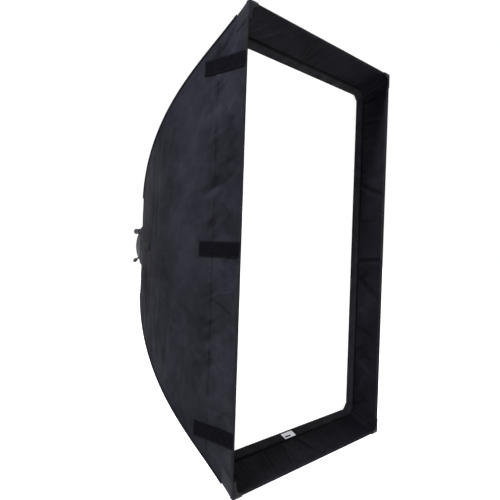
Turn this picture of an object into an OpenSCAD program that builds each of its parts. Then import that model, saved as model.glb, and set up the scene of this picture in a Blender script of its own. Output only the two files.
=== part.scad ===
// Strip softbox on a rotating speed ring: a tapered cloth box on four bowed rods, with a recessed
// front diffuser, an inner baffle and four rear flaps that close round the ring.
// Millimetres. The origin is the centre of the adapter's rear face, where the flash head enters.
// The light leaves towards -Y, and the long side stands along Z.

/* [Front rim] */
// Width of the front rim
face_w = 800; // [700:10:900]
// Height of the front rim
face_h = 1200; // [1050:10:1350]

/* [Depth] */
// Depth from the front rim to the roots of the rods
depth = 634; // [600:2:660]
// Depth of the lip in front of the sewn seam
lip_d = 109; // [90:1:130]
// Depth from the rim to the white front cloth
cloth_d = 101; // [85:1:106]
// Depth from the rim to the inner baffle
baffle_d = 330; // [280:5:360]
// Depth at which the rear flaps are sewn on
flap_d = 584; // [576:1:590]

/* [Cloth] */
// Thickness of the black outer cloth
cloth = 1.2; // [0.8:0.1:1.6]
// Width of the hook-and-loop tabs for a grid
tab_w = 38; // [25:1:50]
// Length of those tabs, back from the rim
tab_l = 162; // [120:1:180]
// Width of the rear closing straps
strap_w = 25; // [20:1:30]

/* [Rods] */
// Radius of a rod
rod_r = 4; // [3:0.5:5]
// How far a rod's centre lies from the outer face of the cloth on each side of its corner
rod_inset = 9; // [9:0.5:11]

/* [Speed ring] */
// Radius of the adapter's bore, which takes the flash head
bore_r = 68; // [66:0.5:69]
// Radius of the surface on which the ring turns
bearing_r = 76; // [75.5:0.5:77]
// Outer radius of the speed ring
ring_r = 90; // [88:0.5:91]

/* [Hidden] */

round_fn = 64;
gap = 0.3;
lining = 0.8;
tape = 1.1;

// Places along Y of the ring's parts
collar_front = -13;
flange_front = -18;
barrel_front = -39;
plate_front = -43;
root_y = -47.5;
rim_y = root_y - depth;

// The rod leaves its socket outwards and forwards, and ends in the corner of the rim
socket_lean = 32.8;
root = 83;
socket_dir = [cos(socket_lean) * sqrt(0.5), -sin(socket_lean), cos(socket_lean) * sqrt(0.5)];
taper_w = 0.36;
taper_h = 0.62;
front_dir = unit([-taper_w, 1, -taper_h]);
rod_start = [root, depth, root];
rod_end = [face_w / 2 - away(taper_w), 0, face_h / 2 - away(taper_h)];
rod_pull_front = 0.181 * face_h;
rod_pull_root = 0.405 * face_h;

function unit(v) = v / norm(v);
function bezier(a, b, c, e, t) =
  pow(1 - t, 3) * a + 3 * pow(1 - t, 2) * t * b + 3 * (1 - t) * t * t * c + t * t * t * e;
function bezier_way(a, b, c, e, t) = pow(1 - t, 2) * (b - a) + 2 * (1 - t) * t * (c - b) + t * t * (e - c);
// How far in a rod's centre lies across, or up, where the cloth closes in at this slope
function away(slope) = rod_inset * sqrt(1 + slope * slope);
// Centre line of the upper right rod as [x, depth behind the rim, z], from the rim at 0 to the ring at 1
front_pull = rod_end + rod_pull_front * front_dir;
root_pull = rod_start + rod_pull_root * socket_dir;
function rod_line(t) = bezier(rod_end, front_pull, root_pull, rod_start, t);
function rod_way(t) = bezier_way(rod_end, front_pull, root_pull, rod_start, t);
// The same point in the part's own frame
function placed(p) = [p[0], rim_y + p[1], p[2]];
function y_at(d) = rim_y + d;

// Half width and half height of the sewn corner line at a depth behind the rim
line_table = [for (i = [0:80]) rod_line(i / 80)];
way_table = [for (i = [0:80]) rod_way(i / 80)];
w_table = [for (i = [0:80]) let (p = line_table[i], v = way_table[i]) [p[1], p[0] + away(v[0] / v[1])]];
h_table = [for (i = [0:80]) let (p = line_table[i], v = way_table[i]) [p[1], p[2] + away(v[2] / v[1])]];
t_table = [for (i = [0:80]) [line_table[i][1], i / 80]];
function half_w(d) = lookup(d, w_table);
function half_h(d) = lookup(d, h_table);
function slope(table, d) =
  (lookup(min(d + 4, depth), table) - lookup(max(d - 4, 0), table)) / (min(d + 4, depth) - max(d - 4, 0));
// The same, for a layer that lies o inside the outer face of the cloth
function layer_w(d, o) = half_w(d) - o * sqrt(1 + pow(slope(w_table, d), 2));
function layer_h(d, o) = half_h(d) - o * sqrt(1 + pow(slope(h_table, d), 2));
function steps(from, to, n) = [for (i = [0:n]) from + (to - from) * i / n];

// Closed solid through a row of sections, which all have the same number of corners
module skin(rows) {
  n = len(rows);
  m = len(rows[0]);
  points = [for (r = rows) each r];
  sides = [for (i = [0:n - 2]) for (k = [0:m - 1])
    [m * i + k, m * i + (k + 1) % m, m * (i + 1) + (k + 1) % m, m * (i + 1) + k]];
  first = [for (k = [m - 1:-1:0]) k];
  last = [for (k = [0:m - 1]) m * (n - 1) + k];
  polyhedron(points, concat(sides, [first, last]), convexity = 6);
}

// Rows of a strip that lies on the right-hand side, between two layers and two heights
function side_rows(ds, outer, inner, low, high) = [for (d = ds) let (y = y_at(d)) [
  [layer_w(d, outer), y, low(d)], [layer_w(d, inner), y, low(d)],
  [layer_w(d, inner), y, high(d)], [layer_w(d, outer), y, high(d)]]];
// Rows of a strip that lies on the top, between two layers and two places across
function top_rows(ds, outer, inner, low, high) = [for (d = ds) let (y = y_at(d)) [
  [low(d), y, layer_h(d, outer)], [high(d), y, layer_h(d, outer)],
  [high(d), y, layer_h(d, inner)], [low(d), y, layer_h(d, inner)]]];
module side_strip(ds, outer, inner, low, high) skin(side_rows(ds, outer, inner, low, high));
module top_strip(ds, outer, inner, low, high) skin(top_rows(ds, outer, inner, low, high));

// Copies of the upper right corner's part at the other corners
module at_corner(left, lower) mirror([left ? 1 : 0, 0, 0]) mirror([0, 0, lower ? 1 : 0]) children();
module at_corners() for (left = [false, true], lower = [false, true]) at_corner(left, lower) children();
module left_side() mirror([1, 0, 0]) children();
module underside() mirror([0, 0, 1]) children();

// ---- Adapter, speed ring and screws ----

// Turns a solid made along +Z so that it lies along -Y, with its start at y = from
module along_y(from) translate([0, from, 0]) rotate([90, 0, 0]) children();

lock_angle = 150;
lock_r = 94;
clamp_angles = [90, 210, 330];
plate_screw_angles = [30, 150, 270];
plate_screw_r = 72;
clamp_y = -6.5;
// Turns a solid made at angle 0, on +X, round the bore's axis
module at_angle(a) rotate([0, -a, 0]) children();

module adapter_insert() color("#1b1b1d") difference() {
  union() {
    along_y(0) rotate_extrude($fn = 128)
      polygon([[bore_r, 0], [78.5, 0], [80, 1.5], [80, -collar_front], [84, -collar_front], [84, -flange_front],
               [bearing_r, -flange_front], [bearing_r, -barrel_front], [bore_r, -barrel_front]]);
    at_angle(lock_angle) translate([lock_r, collar_front, 0]) rotate([90, 0, 0])
      cylinder(r = 9, h = collar_front - flange_front, $fn = round_fn);
  }
  for (a = clamp_angles) at_angle(a) translate([bore_r - 4, clamp_y, 0]) rotate([0, 90, 0])
    cylinder(r = 3.05, h = 30, $fn = 32);
  at_angle(lock_angle) translate([lock_r, 10, 0]) rotate([90, 0, 0]) cylinder(r = 3.05, h = 50, $fn = 32);
  for (a = plate_screw_angles) at_angle(a) translate([plate_screw_r, barrel_front + 11, 0]) rotate([90, 0, 0])
    cylinder(r = 1.55, h = 20, $fn = 24);
}

module retaining_ring() color("#8d9094") difference() {
  along_y(barrel_front) difference() {
    cylinder(r = 82, h = barrel_front - plate_front, $fn = 128);
    translate([0, 0, -1]) cylinder(r = bore_r + 0.6, h = 10, $fn = 128);
  }
  for (a = plate_screw_angles) at_angle(a) translate([plate_screw_r, barrel_front + 1, 0]) rotate([90, 0, 0])
    cylinder(r = 1.8, h = 20, $fn = 24);
}

module retaining_screws() color("#3a3b3e") for (a = plate_screw_angles) at_angle(a)
  translate([plate_screw_r, plate_front - 1.9, 0]) rotate([-90, 0, 0]) difference() {
    union() {
      cylinder(r = 2.9, h = 1.9, $fn = 32);
      cylinder(r = 1.5, h = 14, $fn = 24);
    }
    translate([0, 0, -0.1]) cylinder(r = 1.15, h = 1.2, $fn = 6);
  }

// Knurled grip along +Z with a bevelled end
module grip(r, h) difference() {
  rotate_extrude($fn = 48) polygon([[0, 0], [r - 1, 0], [r, 1], [r, h - 2], [r - 2, h], [0, h]]);
  for (a = [0:45:315]) rotate(a) translate([r + 1.2, 0, -1]) cylinder(r = 2.4, h = h + 2, $fn = 16);
}

lock_back = -11;
module rotation_lock_screw() color("#9a9ca0") at_angle(lock_angle)
  translate([lock_r, lock_back, 0]) rotate([90, 0, 0]) cylinder(r = 3, h = lock_back - flange_front, $fn = 32);
module rotation_lock_knob() color("#141415") at_angle(lock_angle)
  translate([lock_r, lock_back, 0]) rotate([-90, 0, 0]) grip(9, 13);

knob_start = 93;
module clamp_screw(a) color("#9a9ca0") at_angle(a) translate([bore_r + 0.8, clamp_y, 0]) rotate([0, 90, 0])
  cylinder(r = 3, h = knob_start - bore_r - 0.8, $fn = 32);
module clamp_knob(a) color("#141415") at_angle(a) translate([knob_start, clamp_y, 0]) rotate([0, 90, 0])
  grip(6, 14);

// Puts a solid made along +Z on the upper right socket's axis, at s from the rod's root
module on_socket(s) translate(placed(rod_start) + s * socket_dir)
  rotate([0, 0, atan2(socket_dir[1], socket_dir[0])]) rotate([0, acos(socket_dir[2]), 0]) children();

module speed_ring() color("#232427") difference() {
  union() {
    along_y(flange_front - gap) rotate_extrude($fn = 128)
      polygon([[bearing_r - 1, 0], [ring_r - 1.5, 0], [ring_r, 1.5], [ring_r, 18.9],
               [ring_r - 1.5, 20.4], [bearing_r - 1, 20.4]]);
    at_corners() on_socket(-38) cylinder(r = 10, h = 20, $fn = round_fn);
  }
  along_y(0) cylinder(r = bearing_r + 0.05, h = 90, $fn = 128);
  at_corners() on_socket(-36) cylinder(r = 7.05, h = 60, $fn = round_fn);
}

module rod_sockets() color("#a4a6aa") at_corners() difference() {
  on_socket(-35.8) cylinder(r = 7, h = 31.8, $fn = round_fn);
  on_socket(-34) cylinder(r = rod_r + 0.1, h = 60, $fn = round_fn);
}

module rod_ferrules() color("#b9babd") at_corners() {
  on_socket(-33) cylinder(r = rod_r, h = 30, $fn = round_fn);
  on_socket(-3.7) cylinder(r = 5.6, h = 3.6, $fn = round_fn);
}

// ---- Rods ----

// Tube along a line of points in the plane of the corner, as one closed solid
module sweep(path, r, sides) {
  n = len(path);
  rings = [for (i = [0:n - 1])
    let (t = unit(path[min(i + 1, n - 1)] - path[max(i - 1, 0)]), b = [1, 0, -1] * sqrt(0.5),
         u = unit(b - (b * t) * t), v = cross(t, u))
    [for (k = [0:sides - 1]) path[i] + r * (cos(360 * k / sides) * u + sin(360 * k / sides) * v)]];
  points = [for (ring = rings) each ring];
  walls = [for (i = [0:n - 2]) for (k = [0:sides - 1])
    let (a = i * sides + k, b = i * sides + (k + 1) % sides)
    each [[a, a + sides, b], [b, a + sides, b + sides]]];
  start = [for (k = [0:sides - 1]) k];
  finish = [for (k = [sides - 1:-1:0]) (n - 1) * sides + k];
  polyhedron(points, concat(walls, [start, finish]), convexity = 10);
}

rod_t_front = lookup(6, t_table);
module rod() color("#c2c3c6")
  sweep([for (i = [0:34]) placed(rod_line(rod_t_front + (1 - rod_t_front) * i / 34))], rod_r, 10);

// Puts a solid made along +Z on the upper right rod at a depth, pointing towards the ring
module on_rod(d) {
  t = lookup(d, t_table);
  dir = unit(rod_line(t + 0.005) - rod_line(t - 0.005));
  translate(placed(rod_line(t))) rotate([0, 0, atan2(dir[1], dir[0])]) rotate([0, acos(dir[2]), 0]) children();
}

module rod_tips() color("#161617") at_corners() on_rod(4) difference() {
  cylinder(r = 6.2, h = 24, $fn = 32);
  translate([0, 0, 1.6]) cylinder(r = rod_r + 0.4, h = 40, $fn = 32);
}

module rod_keepers() color("#161617") at_corners() for (d = [132, 350, 512]) on_rod(d) translate([0, 0, -7])
  difference() {
    cylinder(r = 5.6, h = 14, $fn = 32);
    translate([0, 0, -1]) cylinder(r = rod_r + 0.5, h = 40, $fn = 32);
  }

// Cloth sleeve across the lip's corner, which holds the rod in place
sleeve_steps = steps(33, cloth_d - 23.5, 4);
sleeve_leg = 28;
function sleeve_row(d) = let (y = y_at(d), w = layer_w(d, cloth + 0.3), h = layer_h(d, cloth + 0.3)) [
  [w - sleeve_leg, y, h], [w - sleeve_leg - 1.4, y, h], [w, y, h - sleeve_leg - 1.4], [w, y, h - sleeve_leg]];
module rod_sleeves() color("#131317") at_corners() skin([for (d = sleeve_steps) sleeve_row(d)]);

// ---- Outer cloth ----

lip_steps = steps(0, lip_d - 0.4, 8);
panel_steps = steps(lip_d, flap_d, 30);
inner_h = function (d) layer_h(d, cloth + 0.1);
minus_inner_h = function (d) -inner_h(d);
full_w = function (d) half_w(d);
minus_full_w = function (d) -half_w(d);

module lip_side() color("#191a20") side_strip(lip_steps, 0, cloth, minus_inner_h, inner_h);
module lip_upper() color("#131317") top_strip(lip_steps, 0, cloth, minus_full_w, full_w);
module panel_side() color("#24252d") side_strip(panel_steps, 0, cloth, minus_inner_h, inner_h);
module panel_upper() color("#24252d") top_strip(panel_steps, 0, cloth, minus_full_w, full_w);

lining_steps = steps(lip_d + 2, flap_d - 6, 28);
lining_top_layer = cloth + 0.3;
lining_h = function (d) layer_h(d, lining_top_layer + lining + 0.2);
lining_w = function (d) layer_w(d, lining_top_layer);
module lining_side() color("#c9cbd0")
  side_strip(lining_steps, lining_top_layer, lining_top_layer + lining, function (d) -lining_h(d), lining_h);
module lining_upper() color("#c9cbd0")
  top_strip(lining_steps, lining_top_layer, lining_top_layer + lining, function (d) -lining_w(d), lining_w);

// Edge tape in front of the rim, between the corner pockets
pocket_reach = 46;
module rim_binding() color("#0e0e10") {
  for (side = [-1, 1]) {
    translate([side * (face_w / 2 - 1.2), rim_y - 1.4, 0]) cube([4, 2.2, face_h - 2 * pocket_reach], center = true);
    translate([0, rim_y - 1.4, side * (face_h / 2 - 1.2)]) cube([face_w - 2 * pocket_reach, 2.2, 4], center = true);
  }
}

// Webbing pocket that holds the rod's tip: an L-shaped sleeve round the corner, closed in front
pocket_steps = steps(-8, 42, 6);
pocket_out = 1.7;
pocket_in = 0.25;
patch_w = 38;
patch_h = 44;
function pocket_row(d) = let (y = y_at(d), w = half_w(max(d, 0)), h = half_h(max(d, 0))) [
  [w + pocket_out, y, h - patch_h], [w + pocket_out, y, h + pocket_out], [w - patch_w, y, h + pocket_out],
  [w - patch_w, y, h + pocket_in], [w + pocket_in, y, h + pocket_in], [w + pocket_in, y, h - patch_h]];
module corner_pocket() color("#111113") union() {
  skin([for (d = pocket_steps) pocket_row(d)]);
  translate([face_w / 2, y_at(-4.6), face_h / 2]) rotate([90, 0, 0]) linear_extrude(3)
    polygon([[pocket_out - 0.5, pocket_out - 0.5], [-patch_w + 1, pocket_out - 0.5], [-patch_w + 1, -7],
             [-22, -11], [-11, -22], [-7, -patch_h + 1], [pocket_out - 0.5, -patch_h + 1]]);
}

// Piping over the sewn corner, from the pocket to the rear flaps
module piping() color("#0e0e10")
  sweep([for (d = steps(46, flap_d - 2, 40)) [layer_w(d, -2.3), y_at(d), layer_h(d, -2.3)]], 2.1, 8);

// ---- Tabs and straps on the outside ----

tab_steps = steps(1, tab_l, 8);
// Where the tabs' centre lines lie, as a share of the rim's half size
side_tab_share = [-0.77, 0, 0.77];
top_tab_share = [-0.675, 0.675];
module grid_tabs_side() color("#0b0b0d") for (share = side_tab_share) let (c = share * face_h / 2)
  side_strip(tab_steps, -0.25 - tape, -0.25, function (d) c - tab_w / 2, function (d) c + tab_w / 2);
module grid_tabs_upper() color("#0b0b0d") for (share = top_tab_share) let (c = share * face_w / 2)
  top_strip(tab_steps, -0.25 - tape, -0.25, function (d) c - tab_w / 2, function (d) c + tab_w / 2);

strap_steps = steps(436, flap_d - 1, 10);
half_strap = function (d) strap_w / 2;
minus_half_strap = function (d) -strap_w / 2;
module rear_strap() color("#0b0b0d") side_strip(strap_steps, -0.25 - tape, -0.25, minus_half_strap, half_strap);

// ---- Rear flaps, which close the box between the rods and lie on the ring's rim ----

flap_steps = steps(flap_d + 0.8, depth, 7);
rod_room = 30;
tail_y = flange_front - 16;
tail_half = 56;
tail_x = ring_r + 3.8;
function flap_half(d, table) = lookup(d, table) - rod_room;
tail_row = [[tail_x, tail_y, -tail_half], [tail_x - cloth, tail_y, -tail_half],
            [tail_x - cloth, tail_y, tail_half], [tail_x, tail_y, tail_half]];
tail_row_up = [for (p = tail_row) [p[2], p[1], p[0]]];
// The top flap's row, in the order that a strip on the top has
tail_row_top = [tail_row_up[0], tail_row_up[3], tail_row_up[2], tail_row_up[1]];
module flap_side() color("#1d1e25") {
  skin(concat(side_rows(flap_steps, 0, cloth, function (d) -flap_half(d, h_table), function (d) flap_half(d, h_table)),
              [tail_row]));
}
module flap_upper() color("#1d1e25") {
  skin(concat(top_rows(flap_steps, 0, cloth, function (d) -flap_half(d, w_table), function (d) flap_half(d, w_table)),
              [tail_row_top]));
}

// ---- Front diffuser and its tape ----

band_steps = steps(cloth_d - 21.5, cloth_d, 4);
band_out = cloth + 0.15;
band_in = band_out + tape;
// The bands stop short of the corners, where the rods pass
corner_gap = 30;
module bands(outer, inner) {
  band_h = function (d) layer_h(d, 0) - corner_gap;
  band_w = function (d) layer_w(d, 0) - corner_gap;
  for (flip = [0, 1]) mirror([flip, 0, 0])
    side_strip(band_steps, outer, inner, function (d) -band_h(d), band_h);
  for (flip = [0, 1]) mirror([0, 0, flip])
    top_strip(band_steps, outer, inner, function (d) -band_w(d), band_w);
}
module lip_hook_bands() color("#0d0d0f") bands(band_out, band_in);

border_out = band_in + 0.35;
border_in = border_out + tape;
module diffuser_border() color("#1a1a1e") bands(border_out, border_in);

// White front cloth, with its corners cut off where the rods pass
corner_cut = 22;
module diffuser_cloth() color("#f7f7f5") {
  w = layer_w(cloth_d, border_out);
  h = layer_h(cloth_d, border_out);
  translate([0, y_at(cloth_d), 0]) rotate([-90, 0, 0]) linear_extrude(1)
    polygon([for (side = [[1, 1], [-1, 1], [-1, -1], [1, -1]], first = [0, 1])
      let (across = (side[0] * side[1] > 0) == (first == 0))
      [side[0] * (w - (across ? 0 : corner_cut)), side[1] * (h - (across ? corner_cut : 0))]]);
}

// Care label, sewn under the border's edge and lying on the lower lip
label_x = -16;
label_w = 57;
module care_label() color("#dcdde2") underside() top_strip(steps(cloth_d - 20, cloth_d - 3, 3),
  border_in + 0.2, border_in + 0.9, function (d) label_x - label_w / 2, function (d) label_x + label_w / 2);

// ---- Inner baffle on its elastic cords ----

baffle_half_w = 0.72 * half_w(baffle_d);
baffle_half_h = 0.76 * half_h(baffle_d);
module inner_baffle() color("#f1f1ee") translate([0, y_at(baffle_d), 0]) difference() {
  cube([2 * baffle_half_w, 1, 2 * baffle_half_h], center = true);
  at_corners() translate([baffle_half_w - 9, 0, baffle_half_h - 9]) rotate([90, 0, 0])
    cylinder(r = 3, h = 10, center = true, $fn = 32);
}

baffle_eye = [baffle_half_w - 9, y_at(baffle_d) + 2.2, baffle_half_h - 9];
baffle_rod = placed(rod_line(lookup(baffle_d, t_table)));
cord_dir = unit(baffle_rod - baffle_eye);
module baffle_cords() color("#202022") at_corners()
  sweep([for (s = steps(0, norm(baffle_rod - baffle_eye) - 7.4, 6)) baffle_eye + s * cord_dir], 1.3, 8);
module baffle_clips() color("#161617") at_corners() on_rod(baffle_d) translate([0, 0, -4]) difference() {
  cylinder(r = 6.2, h = 8, $fn = 32);
  translate([0, 0, -1]) cylinder(r = rod_r + 0.5, h = 20, $fn = 32);
}

// ---- One line for each node ----

adapter_insert();
retaining_ring();
retaining_screws();
rotation_lock_screw();
rotation_lock_knob();
clamp_screw(clamp_angles[0]);  // clamp_screw_1
clamp_screw(clamp_angles[1]);  // clamp_screw_2
clamp_screw(clamp_angles[2]);  // clamp_screw_3
clamp_knob(clamp_angles[0]);  // clamp_knob_1
clamp_knob(clamp_angles[1]);  // clamp_knob_2
clamp_knob(clamp_angles[2]);  // clamp_knob_3
speed_ring();
rod_sockets();
rod_ferrules();
rod_tips();
rod_keepers();
rod_sleeves();
at_corner(true, false) rod();  // rod_upper_left
at_corner(false, false) rod();  // rod_upper_right
at_corner(true, true) rod();  // rod_lower_left
at_corner(false, true) rod();  // rod_lower_right
at_corner(true, false) corner_pocket();  // corner_pocket_upper_left
at_corner(false, false) corner_pocket();  // corner_pocket_upper_right
at_corner(true, true) corner_pocket();  // corner_pocket_lower_left
at_corner(false, true) corner_pocket();  // corner_pocket_lower_right
left_side() lip_side();  // lip_left
lip_side();  // lip_right
lip_upper();  // lip_top
underside() lip_upper();  // lip_bottom
left_side() panel_side();  // panel_left
panel_side();  // panel_right
panel_upper();  // panel_top
underside() panel_upper();  // panel_bottom
left_side() lining_side();  // lining_left
lining_side();  // lining_right
lining_upper();  // lining_top
underside() lining_upper();  // lining_bottom
lip_hook_bands();
rim_binding();
at_corner(true, false) piping();  // piping_upper_left
at_corner(false, false) piping();  // piping_upper_right
at_corner(true, true) piping();  // piping_lower_left
at_corner(false, true) piping();  // piping_lower_right
left_side() grid_tabs_side();  // grid_tabs_left
grid_tabs_side();  // grid_tabs_right
grid_tabs_upper();  // grid_tabs_top
underside() grid_tabs_upper();  // grid_tabs_bottom
left_side() rear_strap();  // rear_strap_left
rear_strap();  // rear_strap_right
left_side() flap_side();  // flap_left
flap_side();  // flap_right
flap_upper();  // flap_top
underside() flap_upper();  // flap_bottom
diffuser_cloth();
diffuser_border();
care_label();
inner_baffle();
baffle_cords();
baffle_clips();
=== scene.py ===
import math

import bmesh
import bpy
import numpy as np
from mathutils import Matrix, Vector


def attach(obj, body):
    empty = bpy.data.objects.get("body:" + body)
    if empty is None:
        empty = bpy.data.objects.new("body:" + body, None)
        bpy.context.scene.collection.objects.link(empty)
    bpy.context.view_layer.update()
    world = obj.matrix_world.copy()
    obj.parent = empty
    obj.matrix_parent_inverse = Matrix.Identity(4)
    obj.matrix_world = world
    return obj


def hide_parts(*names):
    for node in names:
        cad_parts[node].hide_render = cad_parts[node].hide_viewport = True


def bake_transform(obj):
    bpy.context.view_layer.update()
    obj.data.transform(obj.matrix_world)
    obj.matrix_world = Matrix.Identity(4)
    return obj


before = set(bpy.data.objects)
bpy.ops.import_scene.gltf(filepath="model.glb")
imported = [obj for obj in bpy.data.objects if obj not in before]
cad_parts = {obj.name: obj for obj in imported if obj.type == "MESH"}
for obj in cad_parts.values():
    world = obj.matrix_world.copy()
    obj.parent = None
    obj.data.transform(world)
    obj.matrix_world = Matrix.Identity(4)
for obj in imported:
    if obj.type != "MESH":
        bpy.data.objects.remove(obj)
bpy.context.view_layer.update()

# ---- Driving dimensions, in metres, as in the CAD model ----

FACE_W = 0.800
FACE_H = 1.200
DEPTH = 0.634
ROOT_Y = -0.0475
RIM_Y = ROOT_Y - DEPTH
LIP_D = 0.109
CLOTH_D = 0.101
BAFFLE_D = 0.330
FLAP_D = 0.584
ROD_R = 0.004
ROD_INSET = 0.009
ROOT = 0.083
SOCKET_LEAN = math.radians(32.8)
TAPER_W = 0.36
TAPER_H = 0.62
FRONT_PULL = 0.181 * FACE_H
ROOT_PULL = 0.405 * FACE_H
TAB_W = 0.038
TAB_L = 0.162
STRAP_W = 0.025
SIDES = ("left", "right", "top", "bottom")
SIGN = {"left": -1.0, "right": 1.0, "top": 1.0, "bottom": -1.0}
CORNERS = ("upper_left", "upper_right", "lower_left", "lower_right")
CLOTH = 0.0008
MM = 0.001


# ---- The bowed corner, on which every cloth panel hangs ----

def unit(v):
    v = np.asarray(v, float)
    return v / np.linalg.norm(v)


def away(slope):
    """How far in the rod's centre lies where the cloth closes in at this slope."""
    return ROD_INSET * np.sqrt(1 + slope * slope)


SOCKET_DIR = np.array([math.cos(SOCKET_LEAN) * math.sqrt(0.5), -math.sin(SOCKET_LEAN),
                       math.cos(SOCKET_LEAN) * math.sqrt(0.5)])
ROD_END = np.array([FACE_W / 2 - away(TAPER_W), 0, FACE_H / 2 - away(TAPER_H)])
ROD_START = np.array([ROOT, DEPTH, ROOT])
PULL_A = ROD_END + FRONT_PULL * unit([-TAPER_W, 1, -TAPER_H])
PULL_B = ROD_START + ROOT_PULL * SOCKET_DIR


def rod_line(t):
    """Centre line of the upper right rod as (x, depth behind the rim, z), from the rim to the ring."""
    t = np.asarray(t, float)[..., None]
    return ((1 - t) ** 3 * ROD_END + 3 * (1 - t) ** 2 * t * PULL_A
            + 3 * (1 - t) * t * t * PULL_B + t ** 3 * ROD_START)


def rod_way(t):
    """Direction of the rod, towards the ring."""
    t = np.asarray(t, float)[..., None]
    return ((1 - t) ** 2 * (PULL_A - ROD_END) + 2 * (1 - t) * t * (PULL_B - PULL_A)
            + t * t * (ROD_START - PULL_B))


LINE_T = np.linspace(0, 1, 600)
LINE = rod_line(LINE_T)
WAY = rod_way(LINE_T)
LINE_D = LINE[:, 1]
LINE_W = LINE[:, 0] + away(WAY[:, 0] / WAY[:, 1])
LINE_H = LINE[:, 2] + away(WAY[:, 2] / WAY[:, 1])


def half(side, d):
    """Half width, for the left and right, or half height of the cloth's corner line at a depth."""
    return np.interp(d, LINE_D, LINE_W if side in ("left", "right") else LINE_H)


def slope(side, d):
    """How fast half() grows with depth."""
    step = 0.004
    d = np.clip(d, 0, DEPTH)
    low, high = np.clip(d - step, 0, DEPTH), np.clip(d + step, 0, DEPTH)
    return (half(side, high) - half(side, low)) / (high - low)


def other(side):
    """The side that says how far this side's cloth reaches across."""
    return "top" if side in ("left", "right") else "left"


def reach(side, d, lift=0.0):
    """How far a layer of this side's cloth reaches from its middle to the corner."""
    crossing = other(side)
    return half(crossing, d) + lift * np.sqrt(1 + slope(crossing, d) ** 2)


# ---- Seeded noise ----

def hashed(i, j, seed):
    """Repeatable numbers from -1 to 1 on a grid of whole numbers."""
    n = (i.astype(np.int64) * 374761393 + j.astype(np.int64) * 668265263 + seed * 2246822519) & 0xFFFFFFFF
    n = ((n ^ (n >> 13)) * 1274126177) & 0xFFFFFFFF
    n = (n ^ (n >> 16)) & 0xFFFFFFFF
    return n / 2147483647.5 - 1.0


def noise(x, y, seed=0):
    """Smooth noise from -1 to 1."""
    x, y = np.broadcast_arrays(np.asarray(x, float), np.asarray(y, float))
    i, j = np.floor(x), np.floor(y)
    fx, fy = x - i, y - j
    fx, fy = fx * fx * fx * (fx * (fx * 6 - 15) + 10), fy * fy * fy * (fy * (fy * 6 - 15) + 10)
    a, b = hashed(i, j, seed), hashed(i + 1, j, seed)
    c, e = hashed(i, j + 1, seed), hashed(i + 1, j + 1, seed)
    return (a * (1 - fx) + b * fx) * (1 - fy) + (c * (1 - fx) + e * fx) * fy


def layered(x, y, seed=0):
    """Three layers of noise, each finer and weaker."""
    total, size = 0.0, 1.0
    for k in range(3):
        total = total + size * noise(x * 2 ** k, y * 2 ** k, seed + 17 * k)
        size *= 0.5
    return total / 1.75


# ---- How the cloth folds ----

SEED = {"left": 3, "right": 11, "top": 23, "bottom": 37}


def ridge(d, s, start, end, height, width):
    """One soft fold between two points given as (depth, across)."""
    (d0, s0), (d1, s1) = start, end
    vd, vs = d1 - d0, s1 - s0
    t = np.clip(((d - d0) * vd + (s - s0) * vs) / (vd * vd + vs * vs), 0, 1)
    off = np.hypot(d - d0 - t * vd, s - s0 - t * vs)
    along = np.sin(math.pi * (0.06 + 0.88 * t)) ** 0.8
    return height * np.exp(-(off / width) ** 2) * along


def tension_folds(side):
    """Seeded folds that fan out of the corners, where the rods pull the cloth, and short ones between."""
    rng = np.random.default_rng(SEED[side])
    folds = []
    for corner in (-1, 1):
        for d0 in rng.uniform(0.12, 0.56, 26):
            at = corner * reach(side, d0) * 0.985
            run = rng.uniform(0.10, 0.34)
            lean = rng.uniform(-0.25, 0.25)
            end = (np.clip(d0 + run * lean, 0.115, 0.58), at - corner * run)
            folds.append(((d0, at), end, rng.uniform(-2.2, 2.4) * MM, rng.uniform(0.005, 0.014)))
    for _ in range(16):
        d0, s0 = rng.uniform(0.13, 0.5), rng.uniform(-0.8, 0.8)
        s0 *= reach(side, d0)
        run, turn = rng.uniform(0.05, 0.16), rng.uniform(-0.7, 0.7)
        end = (d0 + run * math.cos(turn), s0 + run * math.sin(turn))
        folds.append(((d0, s0), end, rng.uniform(-1.3, 1.3) * MM, rng.uniform(0.004, 0.010)))
    return folds


def lip_folds(side):
    """Diagonal creases across the lip, strongest towards the lower half of the right lip."""
    rng = np.random.default_rng(SEED[side] + 100)
    folds = []
    far = FACE_H / 2 if side in ("left", "right") else FACE_W / 2
    for s0 in np.arange(-far + 0.03, far - 0.03, 0.047):
        s0 = s0 + rng.uniform(-0.018, 0.018)
        low = 1.7 if side == "right" and s0 < -0.1 else 1.0
        turn = rng.uniform(-0.09, 0.06)
        start = (rng.uniform(0.012, 0.045), s0)
        end = (rng.uniform(0.07, 0.10), s0 + turn)
        folds.append((start, end, low * rng.uniform(-2.6, 2.6) * MM, rng.uniform(0.003, 0.0065)))
    return folds


FOLDS = {side: tension_folds(side) for side in SIDES}
LIP_FOLDS = {side: lip_folds(side) for side in SIDES}
# the clearest creases of the right lip, as start, end, height in mm and width: two across it, and one that
# runs down from the band
LIP_FOLDS["right"] += [(start, end, height * MM, width) for start, end, height, width in (
    ((0.100, 0.240), (0.006, 0.205), -5.0, 0.007), ((0.100, 0.222), (0.010, 0.192), 3.0, 0.006),
    ((0.104, 0.108), (0.030, 0.112), -2.6, 0.004), ((0.106, -0.024), (0.003, -0.016), -5.5, 0.0055),
    ((0.106, -0.036), (0.010, -0.030), 3.0, 0.005), ((0.100, -0.045), (0.010, -0.150), -3.8, 0.006),
    ((0.098, -0.230), (0.012, -0.285), -3.6, 0.006), ((0.095, -0.330), (0.020, -0.410), 3.2, 0.007))]
BAND_MIDDLE = 0.090  # depth of the bands that the cloth lies over
FULL_CREASE = 2.2 * MM  # crease height with the strongest painted fold shade and highlight


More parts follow.
